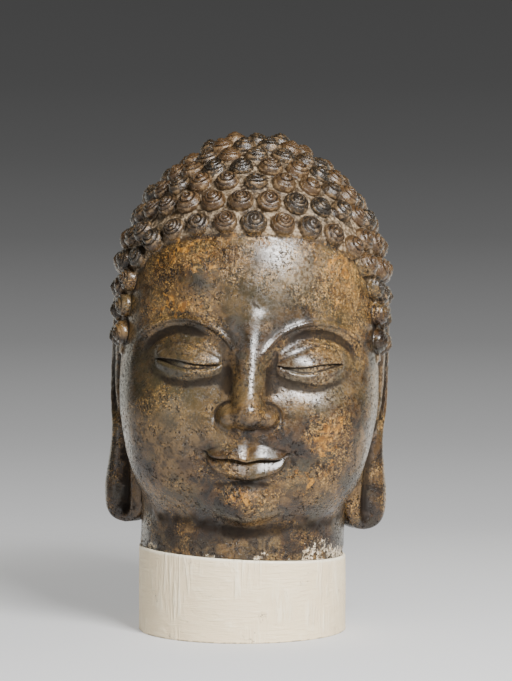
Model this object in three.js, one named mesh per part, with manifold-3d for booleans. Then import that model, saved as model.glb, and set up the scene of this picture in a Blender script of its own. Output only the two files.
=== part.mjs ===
// A colossal Buddha's head carved from one block of stone, and the round neck mount that carries it.
// The head is laid out in digits, the carver's unit: the face is 12 digits from hairline to chin.
// Every form of the head is written in digits, with the chin at z 0 and the face towards -y.
import * as THREE from "three";
import { ConvexHull } from "three/addons/math/ConvexHull.js";
import { mergeVertices } from "three/addons/utils/BufferGeometryUtils.js";
import Module from "manifold-3d";

const wasm = await Module();
wasm.setup();

// ---------------------------------------------------------------- driving dimensions, in millimetres
const FACE_HEIGHT = 440; // hairline to chin
const DIGIT = FACE_HEIGHT / 12;
const CHIN_HEIGHT = 180; // above the surface that the mount stands on
const HEAD_SHIFT = 4; // the face's middle is a little to one side of the mount's axis
const HEAD_LEAN = THREE.MathUtils.degToRad(1.9); // and the head leans to the same side
const MOUNT_RADIUS = 166;
const MOUNT_HEIGHT = 127; // on the axis
const MOUNT_SLOPE = Math.tan(THREE.MathUtils.degToRad(2.9)); // the neck was broken off aslant
const MOUNT_EDGE = 2; // rounding of the mount's edges
const SEAT_GAP = 0.3; // between the neck and the mount

// ---------------------------------------------------------------- shaping functions
const vec = (x, y, z) => new THREE.Vector3(x, y, z);
const clamp01 = (t) => Math.min(1, Math.max(0, t));
const bell = (t) => Math.exp(-t * t);

// 0 at `from`, 1 at `to`, with flat ends; `from` may be the larger of the two.
function fade(from, to, value) {
  const t = clamp01((value - from) / (to - from));
  return t * t * (3 - 2 * t);
}

// The union of two signed distances, with a fillet of about `k`.
function blend(a, b, k) {
  const h = Math.max(k - Math.abs(a - b), 0) / k;
  return Math.min(a, b) - (h * h * k) / 4;
}

const common = (a, b, k) => -blend(-a, -b, k);

// Signed distance to an ellipsoid, close to its surface.
function ellipsoid(p, [cx, cy, cz], [rx, ry, rz]) {
  const x = (p.x - cx) / rx;
  const y = (p.y - cy) / ry;
  const z = (p.z - cz) / rz;
  const inUnits = Math.hypot(x, y, z);
  return (inUnits * (inUnits - 1)) / Math.max(Math.hypot(x / rx, y / ry, z / rz), 1e-9);
}

// Signed distance to a round bar whose radius changes from one end to the other.
function taperedBar(p, start, end, startRadius, endRadius) {
  const bar = end.clone().sub(start);
  const t = clamp01(p.clone().sub(start).dot(bar) / bar.lengthSq());
  const axisPoint = start.clone().addScaledVector(bar, t);
  return p.distanceTo(axisPoint) - (startRadius + (endRadius - startRadius) * t);
}

// ---------------------------------------------------------------- the masses of the head, in digits
const HEART = vec(0, 0.3, 9.3); // every point of the head's surface can be seen from here
const REACH = 10.8; // further than any point of the surface
const NECK = { x: -0.08, y: 0.05, radius: 4.44 }; // it stands over the mount, so it is off the face's middle
const NOSE_ROOT = vec(0, -5.2, 8.3);
const NOSE_END = vec(0, -6.22, 4.75);

function masses(point) {
  const p = vec(Math.abs(point.x), point.y, point.z);
  let d = ellipsoid(p, [0, 0.5, 9.9], [5.62, 6.15, 6.08]); // skull
  d = blend(d, ellipsoid(p, [0, 1, 13.85], [2.75, 2.7, 2.45]), 0.9); // low swelling of the crown
  d = blend(d, ellipsoid(p, [0, -0.55, 6.3], [5.6, 5.15, 6.75]), 0.8); // face
  d = blend(d, ellipsoid(p, [2.5, -2.6, 4.4], [2.5, 2.75, 2.75]), 1.6); // cheeks
  d = blend(d, ellipsoid(p, [0, -3.3, 3.0], [2.3, 2.45, 2.5]), 1.4); // mouth and jaw front
  d = blend(d, ellipsoid(p, [0, -4.25, 1.05], [1.35, 1.25, 1.0]), 1.2); // chin
  d = blend(d, ellipsoid(p, [2.2, -2.0, 2.3], [2.3, 2.6, 2.2]), 1.5); // jaw
  const column = Math.hypot(point.x - NECK.x, p.y - NECK.y) - NECK.radius;
  d = blend(d, common(common(column, p.z - 4, 1), -3 - p.z, 0.1), 0.55); // neck, on past the cut
  d = blend(d, taperedBar(p, NOSE_ROOT, NOSE_END, 0.42, 0.52), 0.75); // nose ridge
  d = blend(d, ellipsoid(p, [0, -6.2, 4.72], [0.62, 0.62, 0.52]), 0.35); // nose tip
  d = blend(d, ellipsoid(p, [0.78, -5.75, 4.52], [0.44, 0.6, 0.44]), 0.22); // nostril wings
  return d;
}

// Distance from the heart, along a unit direction, to the outermost surface of the masses.
function massRadius(direction) {
  const steps = 46;
  let reach = REACH;
  for (let i = 0; i < steps; i++) {
    reach -= 0.85 * masses(HEART.clone().addScaledVector(direction, reach));
  }
  return reach;
}

// ---------------------------------------------------------------- brows and eyes, as depths in digits
const EYE = { x: 2.55, z: 6.9, inner: 1.15, outer: 4.0, open: 0.17 };
const BROW = { x: 2.85, z: 6.3, halfWidth: 2.38, height: 2.12, depth: 0.32 };

// How far inside the brow's arch a point is: 0 on the brow line, positive towards the eye.
const insideBrow = (x, z) =>
  (1 - Math.hypot((x - BROW.x) / BROW.halfWidth, (z - BROW.z) / BROW.height)) * 2.2;

// The three lines of an eye above x: the upper lid's edge, the lower lid's edge and the crease above the lid.
function eyeLines(x) {
  const t = clamp01((x - EYE.inner) / (EYE.outer - EYE.inner));
  const span = Math.sin(Math.PI * t);
  const axis = 6.6 + 0.14 * t * t - 0.06 * Math.sin(2 * Math.PI * t);
  return {
    upper: axis + EYE.open * span ** 0.8,
    lower: axis - EYE.open * span,
    crease: axis + 0.1 + 0.75 * span ** 0.75,
  };
}

function browAndEye(x, z) {
  const inside = insideBrow(x, z);
  let h = -BROW.depth * fade(-0.02, 0.6, inside) * fade(5, 6.9, z) * fade(5.25, 4.1, x);
  h += 0.09 * bell((inside + 0.06) / 0.12) * fade(6.6, 7.5, z) * fade(5.1, 4.3, x);
  const ball = 1 - ((x - EYE.x) / 2.05) ** 2 - ((z - EYE.z) / 1.3) ** 2;
  h += 0.58 * Math.max(0, ball) ** 1.7;
  const line = eyeLines(x);
  const within = fade(EYE.inner - 0.03, EYE.inner + 0.12, x) * fade(EYE.outer + 0.05, EYE.outer - 0.15, x);
  const overUpper = z - line.upper;
  const underLower = line.lower - z;
  h += 0.085 * fade(-0.02, 0.035, overUpper) * fade(0.9, 0, overUpper) * within;
  h += 0.08 * fade(-0.02, 0.03, underLower) * fade(0.45, 0.05, underLower) * within;
  h -= 0.05 * bell((z - line.crease) / 0.055) * within;
  h -= 0.07 * fade(0.03, -0.03, overUpper) * fade(0.03, -0.03, underLower) * within;
  return h - 0.06 * bell(Math.hypot((x - 2.5) / 1.7, (z - 5.75) / 0.45));
}

// ---------------------------------------------------------------- nose and mouth, as depths in digits
const MOUTH = { halfWidth: 1.75, z: 2.76, upper: 0.62, lower: 0.8 };

// The three lines of the mouth at x: where the lips meet, the upper lip's bow and the lower lip's edge.
function mouthLines(x) {
  const u = clamp01(x / MOUTH.halfWidth);
  const meet = MOUTH.z + 0.15 * u ** 2.5 - 0.05 * bell(x / 0.34) + 0.035 * bell((x - 0.62) / 0.34);
  return {
    u,
    meet,
    bow: meet + MOUTH.upper * (1 - u ** 2) ** 0.8 * (1 - 0.16 * bell(x / 0.22)) + 0.02,
    under: meet - MOUTH.lower * (1 - u ** 2.6) ** 0.75 - 0.02,
  };
}

function noseAndMouth(x, z) {
  const { u, meet, bow, under } = mouthLines(x);
  const within = fade(MOUTH.halfWidth + 0.02, MOUTH.halfWidth - 0.3, x);
  let h = 0;
  if (z >= meet) {
    const v = (z - meet) / Math.max(bow - meet, 0.03);
    const roll = fade(-0.05, 0.5, v) * (1 - 0.8 * fade(0.4, 1, v)) * (1 - fade(0.96, 1.12, v));
    h += 0.34 * (1 - 0.5 * u * u) * roll * within;
  } else {
    const v = (meet - z) / Math.max(meet - under, 0.03);
    const roll = fade(-0.05, 0.5, v) * (1 - 0.85 * fade(0.45, 1, v)) * (1 - fade(0.96, 1.14, v));
    h += 0.36 * (1 - 0.6 * u * u) * roll * within;
  }
  h -= 0.09 * bell((z - meet) / 0.06) * fade(MOUTH.halfWidth + 0.25, MOUTH.halfWidth - 0.1, x);
  h -= 0.18 * bell(Math.hypot((x - MOUTH.halfWidth - 0.08) / 0.45, (z - 2.92) / 0.42)); // corner
  h -= 0.08 * bell(x / 0.19) * fade(3.3, 3.6, z) * fade(4.15, 3.95, z); // channel under the nose
  h += 0.06 * bell((x - 0.38) / 0.16) * fade(3.25, 3.55, z) * fade(4.2, 3.8, z);
  h -= 0.24 * bell((z - 1.62) / 0.34) * bell(x / 1.35); // hollow over the chin
  const aroundWing = Math.atan2(z - 4.5, x - 0.86);
  const fromWing = Math.hypot(x - 0.86, z - 4.5) - 0.5;
  return h - 0.11 * bell(fromWing / 0.1) * fade(-0.9, 0.1, aroundWing) * fade(2.7, 1.9, aroundWing);
}

// ---------------------------------------------------------------- the hair and its curls
const HAIR_STEP = 0.13;
const OPENING = { halfWidth: 5.4, z: 6.3, halfHeight: 5.7, power: 3.4, reach: 5.5 };

// Distance in digits into the hair from its edge; negative on the face and on the neck.
function intoHair(p) {
  const across = Math.abs(p.x) / OPENING.halfWidth;
  const along = Math.abs(p.z - OPENING.z) / OPENING.halfHeight;
  const ring = (across ** OPENING.power + along ** OPENING.power) ** (1 / OPENING.power);
  const behind = fade(-1.8, 0.6, p.y);
  const turning = 1 + 2 * fade(-3.4, -1.6, p.y); // the side of the head hardly widens as it runs back
  const fromFace = (ring - 1) * OPENING.reach * turning * (1 - behind) + 2 * behind;
  const hem = 6.9 - 3.6 * fade(0.2, 2, p.y);
  return Math.min(fromFace, p.z - hem);
}

// Distance from the heart to the carved surface, without the curls.
function carvedRadius(direction) {
  const radius = massRadius(direction);
  const p = HEART.clone().addScaledVector(direction, radius);
  const x = Math.abs(p.x);
  const front = fade(-1.5, -3.2, p.y);
  const carving = front > 0 ? (browAndEye(x, p.z) + noseAndMouth(x, p.z)) * front : 0;
  return radius + carving + HAIR_STEP * fade(0, 0.12, intoHair(p));
}

// ---------------------------------------------------------------- where the curls stand
const CURL = { radius: 0.5, height: 0.47, apart: 1.145 };
const ROWS = { apart: 1.05, over: 7, inAll: 16 }; // `over` of them run all round, over the face's border
const POLE_LEAN = THREE.MathUtils.degToRad(4); // the rows sink a little towards the back
const EDGE_MARGIN = 0.47; // from a curl's middle to the hair's edge
const LOWEST_TEMPLE_CURL = 7.6;

const onMasses = (direction) => HEART.clone().addScaledVector(direction, massRadius(direction));

// Direction from the heart to the front of the head at x and z.
function frontDirection(x, z) {
  const target = vec(x, -5, z);
  for (let i = 0; i < 8; i++) {
    const found = onMasses(target.clone().sub(HEART).normalize());
    target.y = found.y;
  }
  return target.sub(HEART).normalize();
}

// The edge of the hair, at an angle from the temples, 0, to the middle of the forehead.
function edgePoint(angle) {
  const x = OPENING.halfWidth * Math.cos(angle) ** (2 / OPENING.power);
  const z = OPENING.z + OPENING.halfHeight * Math.sin(angle) ** (2 / OPENING.power);
  return onMasses(frontDirection(x, z));
}

// The curls that border the face: from the middle of the forehead out and down to each ear.
function borderSpots() {
  const spots = [];
  for (let angle = Math.PI / 2; angle > 0; angle -= 0.004) {
    const edge = edgePoint(angle);
    if (edge.z < LOWEST_TEMPLE_CURL) break;
    const along = edgePoint(angle - 0.004).sub(edge);
    const outward = edge.clone().sub(HEART);
    const away = outward.cross(along).normalize();
    const inHair = edge.addScaledVector(away, EDGE_MARGIN);
    const spot = onMasses(inHair.sub(HEART).normalize());
    const last = spots.at(-1);
    if (!last || spot.distanceTo(last) > CURL.apart) spots.push(spot);
  }
  return [...spots, ...spots.slice(1).map((spot) => vec(-spot.x, spot.y, spot.z))];
}

// The line of each row on the head, from over the face round to the back. Rows are evenly apart on the stone
// itself, so each is found by walking down from the crown.
function rowLines() {
  const lines = Array.from({ length: ROWS.inAll }, () => []);
  for (let i = 0; i <= 60; i++) {
    const round = (Math.PI * i) / 60;
    let last = null;
    let walked = 0;
    let row = 0;
    for (let down = 0; row < ROWS.inAll && down < 2.6; down += 0.012) {
      const flat = Math.sin(down);
      const direction = vec(flat * Math.sin(round), -flat * Math.cos(round), Math.cos(down));
      const p = onMasses(direction.applyAxisAngle(vec(1, 0, 0), -POLE_LEAN));
      walked += last ? p.distanceTo(last) : 0;
      last = p;
      if (walked >= row * ROWS.apart) {
        lines[row].push(p);
        row += 1;
      }
    }
  }
  return lines;
}

// Points at even distances along a line, near `apart` from each other and set on by a share `shift` of that.
function evenlyAlong(line, apart, shift) {
  const lengths = [0];
  line.slice(1).forEach((p, i) => lengths.push(lengths[i] + p.distanceTo(line[i])));
  const whole = lengths.at(-1);
  const count = Math.max(1, Math.round(whole / apart));
  const spots = [];
  for (let i = 0; i <= count - Math.ceil(shift); i++) {
    const wanted = (whole * (i + shift)) / count;
    const next = Math.max(1, lengths.findIndex((length) => length >= wanted - 1e-9));
    const share = (wanted - lengths[next - 1]) / Math.max(1e-9, lengths[next] - lengths[next - 1]);
    spots.push(line[next - 1].clone().lerp(line[next], share));
  }
  return spots;
}

// Middle of each curl on the head. The border comes first. Rows over it run all round the crown, with every
// other row set over the gaps of the last, and lower rows run round the back from one temple to the other.
function curlSpots() {
  const spots = borderSpots();
  const clear = (p, share) => spots.every((other) => other.distanceTo(p) > share * CURL.apart);
  rowLines().forEach((line, row) => {
    const over = row < ROWS.over;
    const first = over ? 0 : line.findIndex((p) => intoHair(p) > 0 && clear(p, 0.86));
    if (first < 0) return;
    const shift = over ? ((ROWS.over - row) % 2) / 2 : 0;
    for (const p of evenlyAlong(line.slice(first), CURL.apart, shift)) {
      const pair = Math.abs(p.x) < 0.3 ? [p] : [p, vec(-p.x, p.y, p.z)];
      if (intoHair(p) > 0 && clear(p, 0.82) && !underEar(p)) spots.push(...pair);
    }
  });
  return spots;
}

// ---------------------------------------------------------------- the ears, in digits
const EAR = { bottom: -0.5, top: 9.9, rimX: 5.98, wedge: 1.5, thickness: 0.2 };

// The ear's front edge, its outer edge and how far it has closed in, at a share `t` of its height.
function earSection(t) {
  const front = vec(4.3 + 1.0 * fade(0.1, 0.75, t), -0.15, 0);
  const spread = 0.25 * fade(0.4, 0.1, t) - 0.06 * bell((t - 0.42) / 0.12);
  const back = vec(EAR.rimX + spread, 1.35 + 1.3 * fade(0.35, 0.8, t), 0);
  return { front, back, close: Math.sqrt(Math.max(0, 1 - Math.abs(2 * t - 1) ** 11)) };
}

// Height of the ear's carving at a share `s` of its width, from the front edge, and `t` of its height.
function earCarving(s, t) {
  const upper = fade(0.4, 0.5, t);
  const lobe = 1 - upper;
  let h = 0.22 * bell((s - 0.9) / 0.1) * upper; // rim
  h += 0.2 * bell((t - 0.95) / 0.03) * fade(0, 0.25, s) * fade(1, 0.9, s);
  h += 0.14 * bell((s - 0.56) / 0.1) * fade(0.45, 0.56, t) * fade(0.9, 0.8, t); // inner fold
  h -= 0.34 * bell((s - 0.3) / 0.15) * bell((t - 0.62) / 0.12); // bowl
  h += 0.14 * bell(Math.hypot((s - 0.08) / 0.1, (t - 0.56) / 0.045));
  h += 0.2 * bell((s - 0.8) / 0.19) * lobe; // outer roll of the lobe
  h -= 0.34 * bell((s - 0.47) / 0.1) * lobe * fade(0.02, 0.08, t); // long slit of the lobe
  return h + 0.15 * bell((s - 0.2) / 0.16) * lobe;
}

// One ear, on the side of +x: a tall solid closed at both ends, its back a wedge that runs into the head.
function earGeometry(around, along) {
  const geometry = new THREE.SphereGeometry(1, around, along);
  const position = geometry.getAttribute("position");
  for (let i = 0; i < position.count; i++) {
    const v = vec(0, 0, 0).fromBufferAttribute(position, i);
    const level = 1 - Math.acos(THREE.MathUtils.clamp(v.y, -1, 1)) / Math.PI;
    const t = 0.4 * level + 0.3 * (1 - Math.cos(Math.PI * level)); // closer together at the ends
    const turn = Math.atan2(v.z, -v.x);
    const { front, back, close } = earSection(t);
    const across = back.clone().sub(front);
    const out = vec(across.y, -across.x, 0).normalize();
    const side = Math.cos(turn);
    const s = 0.5 - 0.5 * close * Math.sign(side) * Math.abs(side) ** 0.8;
    const depth = Math.sign(Math.sin(turn)) * Math.abs(Math.sin(turn)) ** 0.6 * close;
    const p = front.clone().addScaledVector(across, s);
    const lift = depth > 0 ? depth * (EAR.thickness + earCarving(s, t)) : depth * EAR.wedge;
    p.addScaledVector(out, lift);
    if (depth < 0) p.x += 0.8 * depth * s; // the wedge leans in under the rim
    p.z = EAR.bottom + (EAR.top - EAR.bottom) * t;
    position.setXYZ(i, p.x, p.y, p.z);
  }
  return geometry;
}

// True where a curl would stand under an ear.
function underEar(p) {
  return p.z < EAR.top - 0.1 && p.y > 0.2 && p.y < 2.95;
}

// ---------------------------------------------------------------- points for the head's faces
const FACE_SPACING = 0.375;
const JAW_SPACING = 0.38; // where the jaw turns under to meet the neck
const HAIR_SPACING = 0.58;
const NECK_SPACING = 0.9;

// Directions along the carved lines of the face, for one side and its mirror.
function carvedLines() {
  const found = [];
  const both = (x, z) => [...new Set([x, -x])].forEach((side) => found.push(frontDirection(side, z)));
  for (let i = 0; i <= 8; i++) {
    const x = EYE.inner + ((EYE.outer - EYE.inner) * i) / 8;
    const { upper, lower } = eyeLines(x);
    both(x, upper + 0.05);
    if (i > 0 && i < 8) [upper - 0.06, lower - 0.05].forEach((z) => both(x, z));
  }
  for (let i = 0; i <= 11; i++) {
    const turn = THREE.MathUtils.degToRad(12 + 14 * i);
    for (const grow of [0.9, 1, 1.06]) {
      both(BROW.x + BROW.halfWidth * grow * Math.cos(turn), BROW.z + BROW.height * grow * Math.sin(turn));
    }
  }
  for (let i = 0; i <= 7; i++) {
    const x = (MOUTH.halfWidth * i) / 7;
    const { meet, bow, under } = mouthLines(x);
    both(x, meet);
    const rows = [(meet + bow) / 2, bow, bow + 0.07, meet - 0.3, under, under - 0.09];
    if (i < 7) rows.forEach((z) => both(x, z));
  }
  for (let z = 4.25; z < 8; z += 0.42) {
    [0, 0.36, 0.66].forEach((x) => both(x, z));
  }
  for (let i = 0; i < 7; i++) {
    const turn = THREE.MathUtils.degToRad(-80 + 40 * i);
    both(0.84 + 0.42 * Math.cos(turn), 4.5 + 0.42 * Math.sin(turn));
  }
  [0, 0.3, 0.7].forEach((x) => both(x, 4.05));
  return found;
}

// Directions spread evenly over the head: a sunflower's spiral wound on a sphere.
function evenDirections(count) {
  const golden = Math.PI * (3 - Math.sqrt(5));
  return Array.from({ length: count }, (_, i) => {
    const up = 1 - (2 * (i + 0.5)) / count;
    const flat = Math.sqrt(1 - up * up);
    return vec(flat * Math.cos(golden * i), flat * Math.sin(golden * i), up);
  });
}

function spacingAt(p) {
  if (intoHair(p) > 0) return HAIR_SPACING;
  if (p.z > -0.8 && p.z < 1.3 && p.y < 1) return JAW_SPACING;
  return p.y < -2 && p.z > 0 ? FACE_SPACING : NECK_SPACING;
}

// Every vertex of the head: its direction from the heart and how far it stands above the carved surface.
function headVertices() {
  const vertices = [];
  const placed = [];
  const add = (direction, lift = 0) => {
    vertices.push({ direction, lift });
    placed.push(onMasses(direction));
  };
  for (const spot of curlSpots()) {
    const axis = spot.clone().sub(HEART).normalize();
    const sideways = vec(axis.y, -axis.x, 0.01).normalize();
    const upwards = sideways.clone().cross(axis).normalize();
    const ring = (share, lift, points, turn) => {
      for (let i = 0; i < points; i++) {
        const angle = turn + (2 * Math.PI * i) / points;
        const p = spot.clone();
        p.addScaledVector(sideways, share * CURL.radius * Math.cos(angle));
        p.addScaledVector(upwards, share * CURL.radius * Math.sin(angle));
        add(p.sub(HEART).normalize(), lift * CURL.height);
      }
    };
    const topmost = Math.hypot(spot.x, spot.y - 1) < 0.6; // its knob is broken off
    add(axis, CURL.height * (topmost ? 0.4 : 1));
    ring(topmost ? 0.75 : 0.6, topmost ? 0.4 : 0.68, 6, 0);
    ring(0.98, 0, 6, 0);
  }
  carvedLines().forEach((direction) => add(direction));
  for (const direction of evenDirections(9000)) {
    const p = onMasses(direction);
    const spacing = spacingAt(p);
    const clear = placed.every((other) => other.distanceTo(p) > spacing);
    if (clear) add(direction);
  }
  return vertices;
}

// The head without its ears: the directions' convex hull says which vertices share a face.
function headGeometry() {
  const vertices = headVertices();
  const order = new Map(vertices.map(({ direction }, i) => [direction, i]));
  const hull = new ConvexHull().setFromPoints(vertices.map(({ direction }) => direction));
  const index = [];
  for (const face of hull.faces) {
    let edge = face.edge;
    do {
      index.push(order.get(edge.head().point));
      edge = edge.next;
    } while (edge !== face.edge);
  }
  const positions = vertices.flatMap(({ direction, lift }) =>
    HEART.clone().addScaledVector(direction, carvedRadius(direction) + lift).toArray(),
  );
  const geometry = new THREE.BufferGeometry();
  geometry.setAttribute("position", new THREE.Float32BufferAttribute(positions, 3));
  geometry.setIndex(index);
  return geometry;
}

// ---------------------------------------------------------------- joining and cutting
function solidOf(geometry) {
  const bare = geometry.clone();
  bare.deleteAttribute("normal");
  bare.deleteAttribute("uv");
  const merged = mergeVertices(bare, 1e-5);
  const vertProperties = merged.getAttribute("position").array;
  const triVerts = new Uint32Array(merged.index.array).filter((_, i, all) => {
    const corner = i - (i % 3);
    const [a, b, c] = [all[corner], all[corner + 1], all[corner + 2]];
    return a !== b && b !== c && c !== a;
  });
  return new wasm.Manifold(new wasm.Mesh({ numProp: 3, vertProperties, triVerts }));
}

function geometryOf(solid) {
  const { vertProperties, triVerts } = solid.getMesh();
  const geometry = new THREE.BufferGeometry();
  geometry.setAttribute("position", new THREE.BufferAttribute(new Float32Array(vertProperties), 3));
  geometry.setIndex(new THREE.BufferAttribute(new Uint32Array(triVerts), 1));
  return geometry;
}

// The other ear: mirrored, with each face turned back to point out.
function mirrored(geometry) {
  const copy = geometry.clone().scale(-1, 1, 1);
  const index = copy.index.array;
  for (let i = 0; i < index.length; i += 3) {
    [index[i + 1], index[i + 2]] = [index[i + 2], index[i + 1]];
  }
  return copy;
}

// From the carver's digits to millimetres over the mount.
const placeHead = new THREE.Matrix4()
  .makeTranslation(HEAD_SHIFT, 0, CHIN_HEIGHT)
  .multiply(new THREE.Matrix4().makeRotationY(HEAD_LEAN))
  .multiply(new THREE.Matrix4().makeScale(DIGIT, DIGIT, DIGIT));

// ---------------------------------------------------------------- the head
function makeHead() {
  const material = new THREE.MeshStandardMaterial({ color: 0x6e5234, roughness: 0.5, metalness: 0 });
  const ear = earGeometry(12, 22);
  const pieces = [headGeometry(), ear, mirrored(ear)];
  const [core, ...ears] = pieces.map((geometry) => solidOf(geometry.applyMatrix4(placeHead)));
  const whole = ears.reduce((joined, next) => joined.add(next), core);
  const below = new THREE.BoxGeometry(900, 900, 600)
    .translate(0, 0, -300)
    .rotateY(Math.atan(MOUNT_SLOPE))
    .translate(0, 0, MOUNT_HEIGHT + SEAT_GAP);
  const head = new THREE.Mesh(geometryOf(whole.subtract(solidOf(below))), material);
  head.name = "head";
  return head;
}

// ---------------------------------------------------------------- the neck mount
function makeMount() {
  const material = new THREE.MeshStandardMaterial({ color: 0xe9e1d4, roughness: 0.7, metalness: 0 });
  const inner = MOUNT_RADIUS - MOUNT_EDGE;
  const profile = [
    [0, 0],
    [inner, 0],
    [MOUNT_RADIUS, MOUNT_EDGE],
    [MOUNT_RADIUS, MOUNT_HEIGHT - MOUNT_EDGE],
    [inner, MOUNT_HEIGHT],
    [0, MOUNT_HEIGHT],
  ].map(([radius, height]) => new THREE.Vector2(radius, height));
  const geometry = new THREE.LatheGeometry(profile, 56).rotateX(Math.PI / 2);
  const position = geometry.getAttribute("position");
  for (let i = 0; i < position.count; i++) {
    const x = position.getX(i);
    const z = position.getZ(i);
    if (z > MOUNT_HEIGHT / 2) position.setZ(i, z - MOUNT_SLOPE * x);
  }
  const mount = new THREE.Mesh(geometry, material);
  mount.name = "neck_mount";
  return mount;
}

const statue = new THREE.Group();
statue.add(makeHead(), makeMount());

export default statue;
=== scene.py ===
import math

import bmesh
import bpy
import numpy as np
from mathutils import Matrix, Vector, noise
from mathutils.kdtree import KDTree


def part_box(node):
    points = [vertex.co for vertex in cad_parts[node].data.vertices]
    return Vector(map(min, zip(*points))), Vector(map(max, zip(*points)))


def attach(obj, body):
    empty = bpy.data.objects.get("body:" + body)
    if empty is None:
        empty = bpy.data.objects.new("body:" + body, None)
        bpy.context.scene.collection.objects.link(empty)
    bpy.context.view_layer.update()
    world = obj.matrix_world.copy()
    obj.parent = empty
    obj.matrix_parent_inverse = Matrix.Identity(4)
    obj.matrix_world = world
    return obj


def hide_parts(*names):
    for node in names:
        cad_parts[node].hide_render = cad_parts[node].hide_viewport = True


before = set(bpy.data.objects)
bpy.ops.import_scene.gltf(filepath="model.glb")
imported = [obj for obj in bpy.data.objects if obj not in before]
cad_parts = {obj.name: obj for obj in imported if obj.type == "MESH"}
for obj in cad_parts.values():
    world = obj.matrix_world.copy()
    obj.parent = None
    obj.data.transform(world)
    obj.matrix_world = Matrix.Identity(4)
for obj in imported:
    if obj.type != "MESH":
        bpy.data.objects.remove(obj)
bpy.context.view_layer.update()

# ------------------------------------------------------------------ the head
# One block of stone, carved in the round and broken off through the neck. The carver laid it out in
# digits, twelve from the hairline to the chin, so the head is shaped in digits first (x across, y towards
# the back, z up from the chin) and set over its mount, in metres, once it is whole.
DIGIT = 0.44 / 12
CHIN_HEIGHT = 0.18  # metres, over the mount's underside
HEAD_SHIFT = 0.004  # metres, to the right of the mount's axis
MOUNT_HEIGHT = 0.127  # metres, on its axis, halfway down the slope of its top
JOINT_GAP = 0.0003  # metres, between the mount and the stone
mount_low, mount_high = (Vector(corner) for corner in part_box("neck_mount"))
MOUNT_RADIUS = (mount_high.x - mount_low.x) / 2
mount_axis = ((mount_low + mount_high) / 2).to_2d().to_3d()
chin = Vector((mount_axis.x + HEAD_SHIFT, mount_axis.y, mount_low.z + CHIN_HEIGHT))
lean = Matrix.Rotation(math.radians(1.9), 4, "Y")
head_place = Matrix.Translation(chin) @ lean @ Matrix.Scale(DIGIT, 4)
HEART = np.array([0, 0.3, 9.3])  # the middle of the block: carving is raised or sunk along rays from here
NECK_MIDDLE = (-0.08, 0.05)
NECK_RADIUS = 4.44
EDGE_HALF_WIDTH = 5.4  # the edge of the hair, a squared arch round the face
EDGE_HALF_HEIGHT = 5.7
EDGE_MIDDLE = 6.3
EDGE_POWER = 3.4


def bell(t):
    return np.exp(-t * t)


def fade(start, end, value):
    t = np.clip((value - start) / (end - start), 0, 1)
    return t * t * (3 - 2 * t)


def blend(a, b, reach):
    close = np.maximum(reach - np.abs(a - b), 0) / reach
    return np.minimum(a, b) - close * close * reach / 4


def common(a, b, reach):
    return -blend(-a, -b, reach)


def ellipsoid(p, centre, radii):
    q = (p - np.array(centre)) / np.array(radii)
    near = np.linalg.norm(q, axis=1)
    slope = np.linalg.norm(q / np.array(radii), axis=1)
    return near * (near - 1) / np.maximum(slope, 1e-9)


def tapered_bar(p, start, end, start_radius, end_radius):
    start, along = np.array(start), np.array(end) - np.array(start)
    t = np.clip(((p - start) @ along) / (along @ along), 0, 1)
    radius = start_radius + (end_radius - start_radius) * t
    return np.linalg.norm(p - start - t[:, None] * along, axis=1) - radius


def masses(p):
    """Distance to the head's rounded masses, before anything is carved into them."""
    half = np.column_stack((np.abs(p[:, 0]), p[:, 1], p[:, 2]))
    d = ellipsoid(half, (0, 0.5, 9.9), (5.62, 6.15, 6.08))  # skull
    d = blend(d, ellipsoid(half, (0, 1, 13.85), (2.75, 2.7, 2.45)), 0.9)  # low swelling of the crown
    d = blend(d, ellipsoid(half, (0, -0.55, 6.3), (5.6, 5.15, 6.75)), 0.8)  # face
    d = blend(d, ellipsoid(half, (2.5, -2.6, 4.4), (2.5, 2.75, 2.75)), 1.6)  # cheeks
    d = blend(d, ellipsoid(half, (0, -3.3, 3.0), (2.3, 2.45, 2.5)), 1.4)  # mouth and front of the jaw
    d = blend(d, ellipsoid(half, (0, -4.25, 1.05), (1.35, 1.25, 1.0)), 1.2)  # chin
    d = blend(d, ellipsoid(half, (2.2, -2.0, 2.3), (2.3, 2.6, 2.2)), 1.5)  # jaw
    column = np.hypot(p[:, 0] - NECK_MIDDLE[0], p[:, 1] - NECK_MIDDLE[1]) - NECK_RADIUS
    d = blend(d, common(common(column, p[:, 2] - 4, 1), -3 - p[:, 2], 0.1), 0.55)  # neck, on past the break
    d = blend(d, tapered_bar(half, (0, -5.2, 8.3), (0, -6.22, 4.75), 0.42, 0.52), 0.75)  # nose ridge
    d = blend(d, ellipsoid(half, (0, -6.2, 4.72), (0.62, 0.62, 0.52)), 0.35)  # nose tip
    return blend(d, ellipsoid(half, (0.78, -5.75, 4.52), (0.44, 0.6, 0.44)), 0.22)  # nostril wings


def on_masses(directions):
    """Where rays from the heart of the block leave the masses for the last time."""
    reach = np.full(len(directions), 10.8)
    for _ in range(46):
        reach = reach - 0.85 * masses(HEART + directions * reach[:, None])
    return HEART + directions * reach[:, None]


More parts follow.
